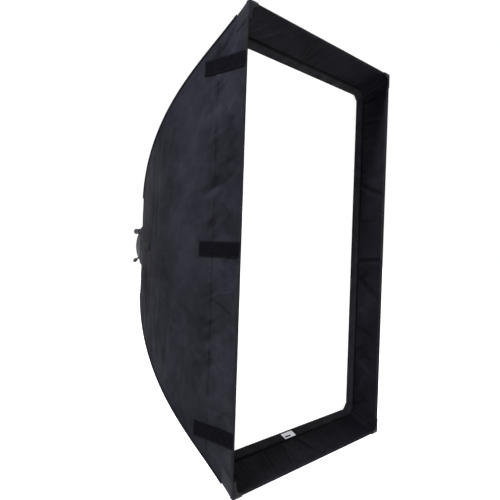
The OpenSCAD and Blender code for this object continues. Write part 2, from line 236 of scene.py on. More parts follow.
def creased(x, y, seed):
    """Thin crease lines from 0 to 1, as in cloth that has been folded up."""
    a = 1 - np.abs(noise(x, y, seed) * 1.6 + 0.5 * noise(x * 2.1, y * 2.1, seed + 3))
    b = 1 - np.abs(noise(x * 1.7 + 5.2, y * 1.7, seed + 7) * 1.6)
    return np.clip(a, 0, 1) ** 5 + 0.6 * np.clip(b, 0, 1) ** 6


def pucker(d, s, line_d, seed, height=4.8 * MM, length=0.019):
    """Gathers along a sewn seam."""
    turned = s + 0.5 * (d - line_d)
    wave = noise(turned / 0.024, 0.5, seed) + 0.55 * noise(turned / 0.011, 0.5, seed + 5)
    wide = length * (1.0 + 0.8 * noise(s / 0.019, 0.5, seed + 9))
    busy = np.clip(0.55 + 1.1 * noise(s / 0.055, 0.5, seed + 13), 0.12, 1.6)
    return height * busy * wave * np.exp(-np.abs(d - line_d) / wide)


def wrinkles(side, d, s, creases_only=False):
    """How far the cloth stands off its smooth surface, or only its creases, for the painted shade and
    highlight that the nylon puts on them.
    """
    seed = SEED[side]
    far = reach(side, d)
    room = np.clip((far - np.abs(s)) / 0.03, 0, 1)
    # the cloth is held along the corners, at the rim and where the rear flaps are sewn on
    hold = room * np.clip(d / 0.012, 0, 1) * np.clip((FLAP_D - d) / 0.02, 0, 1)
    soft = 2.0 * MM * layered(d / 0.20, s / 0.30, seed) + 0.9 * MM * layered(d / 0.05, s / 0.075, seed + 50)
    lean = d + 0.35 * s
    patchy = np.clip(0.5 + noise(d / 0.14, s / 0.16, seed + 60), 0, 1)
    crumple = 0.8 * MM * patchy * creased(lean / 0.052, (s - 0.5 * d) / 0.083, seed + 61)
    crumple = crumple + 0.35 * MM * patchy * noise(lean / 0.016, s / 0.021, seed + 65)
    body = soft * np.clip((d - LIP_D) / 0.08, 0.15, 1) + crumple
    for fold in FOLDS[side]:
        body = body + ridge(d, s, *fold) * np.clip((d - LIP_D) / 0.02, 0, 1)
    lip = 0.0
    for fold in LIP_FOLDS[side]:
        lip = lip + ridge(d, s, *fold)
    lip = lip + 0.8 * MM * layered(d / 0.06, s / 0.11, seed + 70)
    lip = lip + 0.7 * MM * creased((d + 0.4 * s) / 0.045, (s - 0.6 * d) / 0.07, seed + 71)
    lip = lip * np.clip((LIP_D - d) / 0.012, 0, 1)
    tight = pucker(d, s, LIP_D, seed + 200) + pucker(d, s, 0.0075, seed + 300, 1.0 * MM, 0.007)
    seam = 0.5 * MM * np.exp(-((d - LIP_D - 0.004) / 0.0035) ** 2)
    if creases_only:
        # painted shade: a dark line along the seam at the lip, and marks that are darker in hollow folds and
        # gathers and lighter on raised ones
        line = 1.1 * MM * np.exp(-((d - LIP_D) / 0.003) ** 2)
        return hold * (0.8 * crumple * np.clip((d - LIP_D) / 0.01, 0, 1) + lip + 1.6 * tight - line)
    total = hold * (body + lip + tight + seam)
    # inward folds stop short of the bands and the diffuser behind them
    least = -0.9 * MM - 6 * MM * np.clip((np.abs(d - BAND_MIDDLE) - 0.016) / 0.02, 0, 1)
    return np.where(total < 0, least * np.tanh(total / least), total)


def skin(side, d, s, lift=0.0, flat=False):
    """Points on a side's cloth: d is the depth behind the rim, s runs across, and lift is outwards."""
    d, s, lift = np.broadcast_arrays(np.asarray(d, float), np.asarray(s, float), np.asarray(lift, float))
    out, fall = half(side, d), slope(side, d)
    size = np.sqrt(1 + fall ** 2)
    off = (lift + (0 if flat else wrinkles(side, d, s))) / size
    far, y = out + off, RIM_Y + d - off * fall
    if side in ("left", "right"):
        return np.stack([SIGN[side] * far, y, s], -1)
    return np.stack([s, y, SIGN[side] * far], -1)


# ---- Mesh building ----

def link(name, mesh, material):
    obj = bpy.data.objects.new(name, mesh)
    bpy.context.scene.collection.objects.link(obj)
    mesh.materials.append(material)
    return obj


def grid_faces(rows, cols, round_rows=False, round_cols=False):
    """Quads over a grid of points, which may close on itself along its rows or columns."""
    i, j = np.meshgrid(np.arange(rows - (not round_rows)), np.arange(cols - (not round_cols)), indexing="ij")
    here, ahead, on = i * cols, (i + 1) % rows * cols, (j + 1) % cols
    return np.stack([here + j, here + on, ahead + on, ahead + j], -1).reshape(-1, 4)


def mesh_of(name, points, faces, uvs=None):
    """Smooth-shaded mesh. uvs are given per point."""
    mesh = bpy.data.meshes.new(name)
    mesh.from_pydata([tuple(p) for p in points], [], [tuple(int(v) for v in f) for f in faces])
    if uvs is not None:
        layer = mesh.uv_layers.new(name="UVMap")
        index = np.empty(len(mesh.loops), dtype=np.int32)
        mesh.loops.foreach_get("vertex_index", index)
        layer.data.foreach_set("uv", np.asarray(uvs, float)[index].ravel())
    mesh.polygons.foreach_set("use_smooth", np.full(len(mesh.polygons), True))
    mesh.update()
    return mesh


def outward(mesh):
    """Turns every face of a closed mesh outwards."""
    work = bmesh.new()
    work.from_mesh(mesh)
    bmesh.ops.recalc_face_normals(work, faces=work.faces)
    work.to_mesh(mesh)
    work.free()
    return mesh


def solid(name, points, faces, uvs, material, sharp=50):
    """Closed solid that shades smooth except across edges sharper than this angle."""
    mesh = outward(mesh_of(name, points, faces, uvs))
    mesh.set_sharp_from_angle(angle=math.radians(sharp))
    return link(name, mesh, material)


def slab(name, outer, inner, material, uv=None, shaded_inside=None):
    """Closed sheet between two grids of points, rows by columns. An inner material, if given, covers its
    inner side: a darker copy of the cloth that paints shade there.
    """
    rows, cols = outer.shape[:2]
    points = np.concatenate([outer.reshape(-1, 3), inner.reshape(-1, 3)])
    n = rows * cols
    quads = grid_faces(rows, cols)
    back = quads[:, [0, 3, 2, 1]] + n
    edge = np.concatenate([np.arange(cols), np.arange(1, rows) * cols + cols - 1,
                           (rows - 1) * cols + np.arange(cols - 2, -1, -1),
                           np.arange(rows - 2, 0, -1) * cols])
    ahead = np.roll(edge, -1)
    walls = np.stack([edge, edge + n, ahead + n, ahead], -1)
    if uv is None:
        along = np.zeros((rows, cols))
        along[1:] = np.cumsum(np.linalg.norm(np.diff(outer, axis=0), axis=-1), axis=0)
        over = np.zeros((rows, cols))
        over[:, 1:] = np.cumsum(np.linalg.norm(np.diff(outer, axis=1), axis=-1), axis=1)
        over -= over[:, cols // 2][:, None]
        uv = np.stack([over, along], -1)
    uvs = np.tile(uv.reshape(-1, 2), (2, 1))
    obj = solid(name, points, np.concatenate([quads, back, walls]), uvs, material)
    if shaded_inside is not None:
        inner_side = np.arange(len(obj.data.polygons)) >= len(quads)
        obj.data.materials.append(shaded_inside)
        obj.data.polygons.foreach_set("material_index", inner_side.astype(np.int32))
    return obj


def patch(name, side, ds, low, high, cols, outer, inner, material, shaded_inside=None, flat=False):
    """Strip of cloth, tape or webbing that follows a side. low, high, outer and inner may depend on depth."""
    d = np.asarray(ds, float)[:, None]
    share = np.linspace(0, 1, cols)[None, :]
    lo = low(d) if callable(low) else low + 0 * d
    hi = high(d) if callable(high) else high + 0 * d
    s = lo + (hi - lo) * share
    out = outer(d, share) if callable(outer) else outer
    inn = inner(d, share) if callable(inner) else inner
    obj = slab(name, skin(side, d, s, out, flat), skin(side, d, s, inn, flat), material, shaded_inside=shaded_inside)
    # crease marks, which the nylon turns into painted shade and painted highlight
    marks = (0 * s if flat else wrinkles(side, d, s, creases_only=True)) / FULL_CREASE
    store = obj.data.attributes.new("crease", "FLOAT", "POINT")
    store.data.foreach_set("value", np.tile(marks.ravel(), 2).astype(np.float32))
    return obj


def run_of(path):
    """Length along a path at each of its points."""
    return np.concatenate([[0], np.cumsum(np.linalg.norm(np.diff(path, axis=0), axis=1))])


def frames(path, up):
    """Side and normal along a path."""
    t = np.gradient(path, axis=0)
    t /= np.linalg.norm(t, axis=1)[:, None]
    up = np.broadcast_to(np.asarray(up, float), path.shape)
    side = np.cross(t, up)
    side /= np.linalg.norm(side, axis=1)[:, None]
    return side, np.cross(side, t)


def sweep(name, path, section, up, material, grow=1.0):
    """Closed solid of one section along a path. The section is a list of (side, normal) offsets."""
    path, section = np.asarray(path, float), np.asarray(section, float)
    side, normal = frames(path, up)
    n, k = len(path), len(section)
    size = np.broadcast_to(grow, (n,))[:, None, None]
    ring = path[:, None] + size * (section[None, :, :1] * side[:, None]
                                   + section[None, :, 1:] * normal[:, None])
    faces = grid_faces(n, k, round_cols=True).tolist()
    faces += [list(range(k)), list(range(n * k - 1, (n - 1) * k - 1, -1))]
    uvs = np.stack(np.broadcast_arrays(run_of(section)[None, :], run_of(path)[:, None]), -1)
    return solid(name, ring.reshape(-1, 3), faces, uvs.reshape(-1, 2), material)


def circle(r, n):
    a = np.arange(n) * 2 * math.pi / n
    return np.stack([r * np.cos(a), r * np.sin(a)], -1)


def join(name, objects):
    """One object from several, with the first one's name changed."""
    bpy.ops.object.select_all(action="DESELECT")
    for o in objects:
        o.select_set(True)
    bpy.context.view_layer.objects.active = objects[0]
    bpy.ops.object.join()
    objects[0].name = name
    objects[0].data.name = name
    return objects[0]


def stitches(name, runs, material, length=3.2 * MM, gap=1.5 * MM, r=0.28 * MM):
    """Rows of thread stitches. Each run is (points, normals): a path that lies on the cloth."""
    ring = circle(r, 6)
    k = len(ring)
    steps = np.array([0.0, 0.12, 0.5, 0.88, 1.0])
    size = np.array([0.35, 0.85, 1.0, 0.85, 0.35])
    drop = np.array([-0.5, 0.15, 0.5, 0.15, -0.5]) * r * 1.4
    one = grid_faces(5, k, round_cols=True).tolist() + [list(range(k - 1, -1, -1)), list(range(4 * k, 5 * k))]
    points = []
    for path, normal in runs:
        path, normal = np.asarray(path, float), np.asarray(normal, float)
        far = run_of(path)
        if far[-1] < length:
            continue
        at = np.arange(0, far[-1] - length, length + gap)[:, None] + steps[None, :] * length
        centre = np.stack([np.interp(at, far, path[:, k]) for k in range(3)], -1)
        up = np.stack([np.interp(at, far, normal[:, k]) for k in range(3)], -1)
        up /= np.linalg.norm(up, axis=-1, keepdims=True)
        way = centre[:, -1:] - centre[:, :1]
        way = way / np.linalg.norm(way, axis=-1, keepdims=True)
        side = np.cross(np.broadcast_to(way, up.shape), up)
        side /= np.linalg.norm(side, axis=-1, keepdims=True)
        centre = centre + up * drop[None, :, None]
        body = (centre[:, :, None] + size[None, :, None, None]
                * (ring[None, None, :, :1] * side[:, :, None] + ring[None, None, :, 1:] * up[:, :, None]))
        points.append(body.reshape(-1, 3))
    points = np.concatenate(points)
    faces = [[start + v for v in face] for start in range(0, len(points), 5 * k) for face in one]
    return link(name, outward(mesh_of(name, points, faces)), material)


def on_skin(side, d, s, lift, flat=False):
    """A run for stitches(): points on the cloth and the way out of it."""
    d, s = np.broadcast_arrays(np.asarray(d, float), np.asarray(s, float))
    points = skin(side, d, s, lift, flat)
    return points, skin(side, d, s, lift + 1.0 * MM, flat) - points


# ---- Materials ----

def colour(*rgb):
    return (*rgb, 1.0)


class Shader:
    """A material with its Principled shader and short calls to add nodes."""

    def __init__(self, name, roughness=0.6, metallic=0.0, specular=0.3, sheen=0.0, sheen_roughness=0.5,
                 sheen_tint=(1, 1, 1)):
        self.material = bpy.data.materials.new(name)
        self.material.use_nodes = True
        self.tree = self.material.node_tree
        self.shader = self.tree.nodes["Principled BSDF"]
        self.set("Roughness", roughness)
        self.set("Metallic", metallic)
        self.set("Specular IOR Level", specular)
        self.set("Sheen Weight", sheen)
        self.set("Sheen Roughness", sheen_roughness)
        self.set("Sheen Tint", colour(*sheen_tint))
        self.place = {}

    def feed(self, socket, value):
        """Gives a socket a value or wires another node's output to it. None leaves it alone."""
        if isinstance(value, bpy.types.NodeSocket):
            self.tree.links.new(value, socket)
        elif value is not None:
            socket.default_value = value

    def set(self, key, value):
        self.feed(self.shader.inputs[key], value)

    def add(self, kind, **values):
        node = self.tree.nodes.new(kind)
        for key, value in values.items():
            if key in node.inputs:
                node.inputs[key].default_value = value
            else:
                setattr(node, key, value)
        return node

    def coords(self, which="UV", scale=(1, 1, 1)):
        key = (which, scale)
        if key not in self.place:
            source = self.add("ShaderNodeTexCoord")
            mapping = self.add("ShaderNodeMapping", Scale=scale)
            self.feed(mapping.inputs["Vector"], source.outputs[which])
            self.place[key] = mapping.outputs["Vector"]
        return self.place[key]

    def noise(self, scale, detail, rough, stretch=(1, 1, 1), kind="FBM"):
        node = self.add("ShaderNodeTexNoise", noise_type=kind, Scale=scale, Detail=detail, Roughness=rough)
        self.feed(node.inputs["Vector"], self.coords("Object", stretch))
        return node.outputs["Fac"]

    def wave(self, scale, axis, distort):
        node = self.add("ShaderNodeTexWave", bands_direction=axis, Scale=scale, Distortion=distort,
                        Detail=1.0)
        self.feed(node.inputs["Vector"], self.coords())
        return node.outputs["Fac"]

    def ramp(self, fac, stops):
        """Colours or greys at their places along 0 to 1."""
        node = self.add("ShaderNodeValToRGB")
        ramp = node.color_ramp
        while len(ramp.elements) < len(stops):
            ramp.elements.new(0.5)
        for element, (at, rgb) in zip(ramp.elements, stops):
            element.position = at
            element.color = colour(*rgb) if hasattr(rgb, "__len__") else colour(rgb, rgb, rgb)
        self.feed(node.inputs["Fac"], fac)
        return node.outputs["Color"]

    def math(self, operation, *values):
        node = self.add("ShaderNodeMath", operation=operation)
        for socket, value in zip(node.inputs, values):
            self.feed(socket, value)
        return node.outputs[0]

    def blend(self, a, share, b):
        """a by its share and b by the rest."""
        return self.math("ADD", self.math("MULTIPLY", a, share), self.math("MULTIPLY", b, 1 - share))

    def darken(self, share, a, b):
        """a multiplied by b, by this share."""
        node = self.add("ShaderNodeMix", data_type="RGBA", blend_type="MULTIPLY")
        for k, value in ((0, share), (6, a), (7, b)):
            self.feed(node.inputs[k], value)
        return node.outputs[2]

    def bump(self, height, strength, distance, previous=None):
        node = self.add("ShaderNodeBump", Strength=strength, Distance=distance)
        self.feed(node.inputs["Height"], height)
        self.feed(node.inputs["Normal"], previous)
        return node.outputs["Normal"]

    def finish(self, base, normal, roughness=None):
        for key, value in (("Base Color", base), ("Normal", normal), ("Roughness", roughness)):
            self.set(key, value)
        return self.material


def woven(s, pitch):
    """Height of a plain weave, from 0 to 1."""
    warp, weft = (s.wave(1 / pitch / math.pi, axis, 0.3) for axis in "XY")
    return s.math("MAXIMUM", s.math("MULTIPLY", warp, 0.9), weft)


def nylon(name, dark, light, roughness=0.55, sheen=0.02, specular=0.10):
    """Thin coated nylon: plain weave, cloudy patches, fine crease bumps, and painted shade in hollow folds
    and along the lip seam with painted highlight on raised folds.
    """
    s = Shader(name, sheen=sheen, sheen_roughness=0.45, specular=specular, sheen_tint=(0.75, 0.8, 1.0))
    cloud = s.noise(7.0, 5.0, 0.62)
    rub = s.noise(55.0, 3.0, 0.6)
    weave = woven(s, 0.0011)
    tone = s.blend(cloud, 0.72, rub)
    middle = tuple((a + b) / 2 for a, b in zip(dark, light))
    base = s.ramp(tone, [(0.30, dark), (0.52, middle), (0.72, light)])
    base = s.darken(0.35, base, s.ramp(weave, [(0.2, 0.45), (0.9, 1.0)]))
    # painted shade and highlight: the crease attribute darkens the colour in hollow folds and along the lip
    # seam and lightens it on raised folds
    wear_and_fold_shade = s.math("MULTIPLY_ADD", s.add("ShaderNodeAttribute", attribute_name="crease").outputs["Fac"],
                  0.5, 0.5)
    base = s.darken(1.0, base, s.ramp(wear_and_fold_shade, [(0.0, 0.50), (0.46, 0.92), (0.54, 1.0), (1.0, 1.35)]))
    crease = s.noise(26.0, 4.0, 0.68, stretch=(1.0, 1.6, 1.0))
    lines = s.noise(15.0, 3.0, 0.6, kind="RIDGED_MULTIFRACTAL")
    normal = s.bump(weave, 0.35, 0.0002)
    normal = s.bump(crease, 0.35, 0.0014, normal)
    normal = s.bump(lines, 0.25, 0.0016, normal)
    rough = s.ramp(cloud, [(0.3, roughness + 0.10), (0.75, roughness - 0.08)])
    return s.finish(base, normal, rough)


def tape(name, dark, light, rib=0.0018, across=False, roughness=0.85):
    """Ribbed woven tape or webbing."""
    s = Shader(name, sheen=0.01, sheen_roughness=0.4, specular=0.03)
    ribs = s.wave(1 / rib / math.pi, "X" if across else "Y", 0.2)
    yarn = s.wave(1 / rib * 1.9 / math.pi, "Y" if across else "X", 0.4)
    height = s.blend(ribs, 0.7, yarn)
    wear_and_fold_shade = s.noise(30.0, 4.0, 0.6)
    base = s.ramp(s.blend(wear_and_fold_shade, 0.7, height), [(0.3, dark), (0.7, light)])
    rough = s.ramp(wear_and_fold_shade, [(0.3, roughness), (0.7, roughness - 0.12)])
    return s.finish(base, s.bump(height, 0.6, 0.0004), rough)


def hook_and_loop(name, dark, light):
    """Fuzzy loop tape."""
    s = Shader(name, roughness=0.95, specular=0.012)
    loops = s.noise(900.0, 2.0, 0.7)
    clump = s.noise(140.0, 4.0, 0.7)
    height = s.blend(loops, 0.55, clump)
    base = s.ramp(height, [(0.35, dark), (0.65, light)])
    rough = s.ramp(clump, [(0.3, 0.98), (0.7, 0.86)])
    return s.finish(base, s.bump(height, 0.8, 0.0009), rough)


def white_nylon(name, glow):
    """White diffusion cloth, with an even painted glow: emission that stands in for the lamp inside the box
    shining through it.
    """
    s = Shader(name, roughness=0.7, sheen=0.1, specular=0.25)
    weave = woven(s, 0.0009)
    cloud = s.noise(5.0, 4.0, 0.55)
    base = s.ramp(cloud, [(0.3, (0.80, 0.80, 0.79)), (0.7, (0.93, 0.93, 0.92))])
    base = s.darken(0.25, base, s.ramp(weave, [(0.2, 0.8), (0.9, 1.0)]))
    normal = s.bump(weave, 0.25, 0.00015)
    normal = s.bump(s.noise(16.0, 3.0, 0.6), 0.2, 0.0015, normal)
    s.set("Emission Color", colour(1.0, 0.99, 0.97))
    s.set("Emission Strength", glow)
    return s.finish(base, normal, s.ramp(cloud, [(0.3, 0.75), (0.7, 0.62)]))


def silver(name):
    """Aluminised lining with a fine crinkle."""
    s = Shader(name, roughness=0.38, metallic=0.75, specular=0.5)
    crinkle = s.noise(70.0, 5.0, 0.65)
    cloud = s.noise(6.0, 3.0, 0.5)
    weave = woven(s, 0.0012)
    base = s.ramp(cloud, [(0.3, (0.58, 0.59, 0.61)), (0.7, (0.76, 0.77, 0.79))])
    normal = s.bump(weave, 0.3, 0.0002)
    normal = s.bump(crinkle, 0.35, 0.0015, normal)
    return s.finish(base, normal, s.ramp(crinkle, [(0.3, 0.46), (0.7, 0.30)]))


def metal(name, dark, light, roughness, grain, metallic=1.0, depth=0.0002, stretch=(1, 1, 1)):
    """Metal or coated metal with fine grain, dull patches and lighter wear."""
    s = Shader(name, metallic=metallic, specular=0.5)
    fine = s.noise(grain, 3.0, 0.6, stretch=stretch)
    dull = s.noise(28.0, 4.0, 0.6)
    tone = s.blend(fine, 0.45, dull)
    base = s.ramp(tone, [(0.32, dark), (0.70, light)])
    rough = s.ramp(dull, [(0.3, roughness + 0.10), (0.7, max(roughness - 0.10, 0.05))])
    return s.finish(base, s.bump(fine, 0.35, depth), rough)


def plastic(name, dark, light, roughness=0.5, grain=1400.0, specular=0.4):
    """Moulded plastic or rubber with a fine sparked grain."""
    s = Shader(name, specular=specular)
    fine = s.noise(grain, 2.0, 0.6)
    wear_and_fold_shade = s.noise(60.0, 4.0, 0.6)
    base = s.ramp(wear_and_fold_shade, [(0.35, dark), (0.70, light)])
    rough = s.ramp(wear_and_fold_shade, [(0.3, roughness + 0.08), (0.7, roughness - 0.10)])
    return s.finish(base, s.bump(fine, 0.45, 0.00012), rough)


def label_cloth(name):
    """Woven satin label with one plain printed block."""
    s = Shader(name, roughness=0.5, sheen=0.2, specular=0.4)
    weave = s.wave(700.0, "X", 0.4)
    base = s.ramp(s.noise(60.0, 3.0, 0.5), [(0.3, (0.70, 0.71, 0.76)), (0.7, (0.84, 0.85, 0.89))])
    return s.finish(base, s.bump(weave, 0.4, 0.0002), s.ramp(weave, [(0.2, 0.55), (0.8, 0.4)]))


M = {
    "panel": nylon("outer_nylon", (0.0042, 0.0042, 0.0062), (0.0160, 0.0160, 0.0215), 0.7, 0.0, 0.022),
    # painted shade: a darker copy of the outer nylon, for the lip's inner side and the corner sleeves in the
    # recess behind the rim
    "lip": nylon("shaded_lip_nylon", (0.0020, 0.0018, 0.0031), (0.0068, 0.0064, 0.0098), 0.6, 0.0, 0.03),
    "flap": nylon("flap_nylon", (0.0060, 0.0060, 0.0085), (0.0180, 0.0185, 0.0240)),
    "pocket": nylon("pocket_nylon", (0.0040, 0.0040, 0.0055), (0.0120, 0.0120, 0.0160), specular=0.08),
    "lining": silver("silver_lining"),
    "binding": tape("edge_tape", (0.004, 0.004, 0.005), (0.013, 0.013, 0.015), rib=0.0016),
    "webbing": tape("ribbed_webbing", (0.0012, 0.0013, 0.0018), (0.0050, 0.0055, 0.0075), 0.0026, True),
    "hook": hook_and_loop("loop_tape", (0.0005, 0.0005, 0.0008), (0.0042, 0.0040, 0.0060)),
    # painted shadow: near-black material for the shaded gap at the band's front edge
    "gap": tape("painted_shadow_strip", (0.0008, 0.0008, 0.0012), (0.0030, 0.0029, 0.0045), rib=0.0016),
    "border": tape("border_tape", (0.005, 0.005, 0.006), (0.015, 0.015, 0.018), rib=0.0020),
    "thread": tape("black_thread", (0.006, 0.006, 0.008), (0.020, 0.020, 0.026), rib=0.0008, roughness=0.6),
    # painted light: both white cloths glow by emission, in place of the lamp inside the box
    "white": white_nylon("diffusion_nylon", 0.55),
    "baffle": white_nylon("baffle_nylon", 0.10),
    "elastic": tape("braided_elastic", (0.006, 0.006, 0.007), (0.030, 0.030, 0.032), rib=0.0012),
    "label": label_cloth("satin_label"),
    "print": tape("label_print", (0.010, 0.010, 0.014), (0.030, 0.030, 0.040), rib=0.0007),
    "rod": metal("spring_steel", (0.42, 0.43, 0.44), (0.62, 0.63, 0.64), 0.32, 500.0, stretch=(1, 0.1, 1)),
    "alloy": metal("turned_alloy", (0.50, 0.51, 0.52), (0.68, 0.69, 0.70), 0.34, 900.0),
    "steel": metal("zinc_steel", (0.40, 0.40, 0.41), (0.60, 0.60, 0.58), 0.30, 700.0),
    "coat": metal("powder_coat", (0.012, 0.012, 0.013), (0.030, 0.030, 0.033), 0.5, 1600.0, metallic=0.0,
                  depth=0.0004),
    "cast": metal("cast_black", (0.018, 0.018, 0.020), (0.045, 0.045, 0.050), 0.42, 1100.0, metallic=0.25,
                  depth=0.0003),
    "knob": plastic("knob_plastic", (0.010, 0.010, 0.011), (0.028, 0.028, 0.030), 0.45),
    "clip": plastic("clip_plastic", (0.010, 0.010, 0.011), (0.024, 0.024, 0.026), 0.5),
    "rubber": plastic("tip_rubber", (0.0015, 0.0015, 0.0018), (0.0045, 0.0045, 0.0055), 0.9, 700.0, 0.05),
}

# ---- CAD nodes that keep their shape ----

KEPT = {
    "adapter_insert": "coat", "retaining_ring": "alloy", "retaining_screws": "steel",
    "rotation_lock_screw": "steel", "rotation_lock_knob": "knob", "speed_ring": "cast",
    "rod_sockets": "alloy", "rod_ferrules": "alloy", "rod_tips": "rubber", "rod_keepers": "clip",
    "baffle_clips": "clip",
}
for number in "123":
    KEPT["clamp_screw_" + number] = "steel"
    KEPT["clamp_knob_" + number] = "knob"
for node_name, key in KEPT.items():
    node_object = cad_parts[node_name]
    node_object.data.materials.clear()
    node_object.data.materials.append(M[key])


def made(obj, body, *nodes, slot=None):
    """Rides a finished piece on its body and hides the CAD nodes it stands for."""
    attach(obj, body)
    if nodes:
        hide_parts(*nodes)
    return obj


def spaced(low, high, step, close_to=(), fine=0.0025, within=0.02):
    """Depths from low to high, closer together near seams."""
    out = [low]
    while out[-1] < high - 1e-6:
        near = any(abs(out[-1] - c) < within for c in close_to)
        out.append(min(out[-1] + (fine if near else step), high))
    if len(out) > 2 and out[-1] - out[-2] < 0.3 * fine:
        del out[-2]
    return np.array(out)


# ---- Outer cloth, lips and lining ----

def cut_area(side, ds, lift=0.0):
    """Flat area of a panel, which is cut from flat cloth and bends one way only."""
    w = half(side, ds)
    run = np.hypot(np.diff(w), np.diff(ds))
    wide = 2 * reach(side, ds, lift)
    return float((run * (wide[1:] + wide[:-1]) / 2).sum()), float(run.sum()), float(wide.max())


for side in SIDES:
    tall = side in ("left", "right")
    gap, lining_gap, cols = (-1.3 * MM, -2.6 * MM, 520) if tall else (0.0, -1.5 * MM, 350)
    layers = (
        # the lip's inner side takes the darker lip nylon, painted shade for the recess
        ("lip", spaced(0.0, LIP_D, 0.005, (0.0, LIP_D), 0.0025, 0.014), gap, cols, 0.0, -CLOTH,
         M["panel"], M["lip"], "lip_cloth"),
        ("panel", spaced(LIP_D, FLAP_D, 0.0055, (LIP_D,), 0.0022, 0.030), gap, cols, 0.0, -CLOTH,
         M["panel"], None, "outer_cloth"),
        ("lining", spaced(LIP_D + 0.002, FLAP_D - 0.006, 0.0055, (LIP_D,), 0.003, 0.030), lining_gap,
         cols - 60, -2.0 * MM, -2.5 * MM, M["lining"], None, "lining_silver"))
    for part, ds, lift, n, outer, inner, finish, shaded_inside, slot in layers:
        piece = patch(f"cloth_{part}_{side}", side, ds, lambda d: -reach(side, d, lift),
                      lambda d: reach(side, d, lift), n, outer, inner, finish, shaded_inside)
        area, run, wide = cut_area(side, ds, lift)
        made(piece, "softbox", f"{part}_{side}", slot=slot)

# ---- Rods ----

# each rod starts inside its rubber tip
rod_points = rod_line(np.linspace(0.035, 1.0, 90))
rod_points[:, 1] += RIM_Y


def mirrored(points, corner):
    """Points of the upper right corner, moved to another corner."""
    sign = np.array([-1.0 if "left" in corner else 1.0, 1.0, -1.0 if "lower" in corner else 1.0])
    return points * sign


for corner in CORNERS:
    path = mirrored(rod_points, corner)
    rod = sweep("bowed_rod_" + corner, path, circle(ROD_R, 20), mirrored(np.array([1.0, 0, -1.0]), corner),
                M["rod"])
    made(rod, "softbox", "rod_" + corner, slot="rod_steel")

# ---- Front cloth with its border, and the band behind it ----

BAND_D = CLOTH_D - 0.0215
BAND_CUT, BORDER_CUT, CLOTH_CUT = 0.021, 0.020, 0.018  # legs of the cut-off corners
BAND_OUT, BAND_IN = -1.35 * MM, -2.45 * MM  # faces of each tape, inwards from the lip's outer face
BORDER_OUT, BORDER_IN = -2.80 * MM, -3.90 * MM
WHITE_CLOTH = 0.6 * MM


def rounded_rim(d, lift, cut):
    """Closed loop just inside the lip at one depth, with its corners cut off."""
    w = half("right", d) + lift * math.sqrt(1 + slope("right", d) ** 2)
    h = reach("right", d, lift)
    points = []
    for sx, sz in ((1, 1), (-1, 1), (-1, -1), (1, -1)):
        first = np.array([sx * w, sz * (h - cut)])
        last = np.array([sx * (w - cut), sz * h])
        if sx * sz < 0:
            first, last = last, first
        points += [first, (first + last) / 2, last]
    loop = []
    counts = (3, 3, 90, 3, 3, 140) * 2
    for k, n in enumerate(counts):
        a, b = points[k], points[(k + 1) % len(points)]
        loop += [a + (b - a) * i / n for i in range(n)]
    return np.array(loop)


def loft(name, loops, ys, material):
    """Closed solid of loops in planes across Y, joined one after another and back to the first."""
    k, n = len(loops), len(loops[0])
    points = np.concatenate([np.stack([loop[:, 0], np.full(n, y), loop[:, 1]], -1)
                             for loop, y in zip(loops, ys)])
    around = run_of(loops[0])
    over = run_of(np.array([[*loop[0], y] for loop, y in zip(loops, ys)]))
    uvs = np.concatenate([np.stack([np.full(n, r), around], -1) for r in over])
    return solid(name, points, grid_faces(k, n, True, True), uvs, material)


def band(name, front_d, back_d, outer, inner, cut, material):
    """Tape that runs all round the lip, with a soft edge at the front."""
    thick = outer - inner
    middle = (front_d + back_d) / 2
    steps = [(front_d, outer - 0.2 * thick), (front_d - 0.0006, outer - 0.5 * thick),
             (front_d, inner + 0.1 * thick), (front_d + 0.003, inner), (middle, inner - 0.25 * MM),
             (back_d - 0.003, inner), (back_d, inner + 0.1 * thick), (back_d, outer - 0.1 * thick),
             (middle, outer)]
    loops = [rounded_rim(d, lift, cut) for d, lift in steps]
    return loft(name, loops, [RIM_Y + d for d, _ in steps], material)


hook_band = band("lip_loop_band", BAND_D, CLOTH_D, BAND_OUT, BAND_IN, BAND_CUT, M["hook"])
# painted shadow: a near-black strip along the band's front edge, in the gap before the border tape
shadow_strip_steps = [(BAND_D - 0.0042, -0.75), (BAND_D - 0.0042, -1.5), (BAND_D - 0.0030, -2.2),
              (BAND_D - 0.0012, -2.5), (BAND_D - 0.0002, -2.2), (BAND_D - 0.0002, -0.75)]
band_shadow_strip = loft("lip_band_shadow_strip", [rounded_rim(d, lift * MM, BAND_CUT) for d, lift in shadow_strip_steps],
                 [RIM_Y + d for d, _ in shadow_strip_steps], M["gap"])
hook_band = join("lip_loop_band", [hook_band, band_shadow_strip])
made(hook_band, "softbox", "lip_hook_bands", slot="hook_tape")
border = band("diffuser_border_tape", BAND_D, CLOTH_D - 0.0004, BORDER_OUT, BORDER_IN, BORDER_CUT,
              M["border"])
made(border, "front_diffuser", "diffuser_border", slot="hook_tape")


def face_sheet(name, w, h, cut, y, depth_field, thickness, material, step=0.010):
    """Flat cloth with its corners cut off, from a grid whose edge cells are drawn in to the cut."""
    nx, nz = int(2 * w / step), int(2 * h / step)
    u, v = np.meshgrid(np.linspace(-1, 1, nx + 1), np.linspace(-1, 1, nz + 1), indexing="ij")
    x, z = u * w, v * h
    spill = np.clip((np.abs(x) - (w - cut)) + (np.abs(z) - (h - cut)) - cut, 0, None)
    x = x - np.sign(x) * spill / 2
    z = z - np.sign(z) * spill / 2
    front = np.stack([x, y + depth_field(x, z), z], -1)
    return slab(name, front, front + np.array([0, thickness, 0]), material, np.stack([x, z], -1))


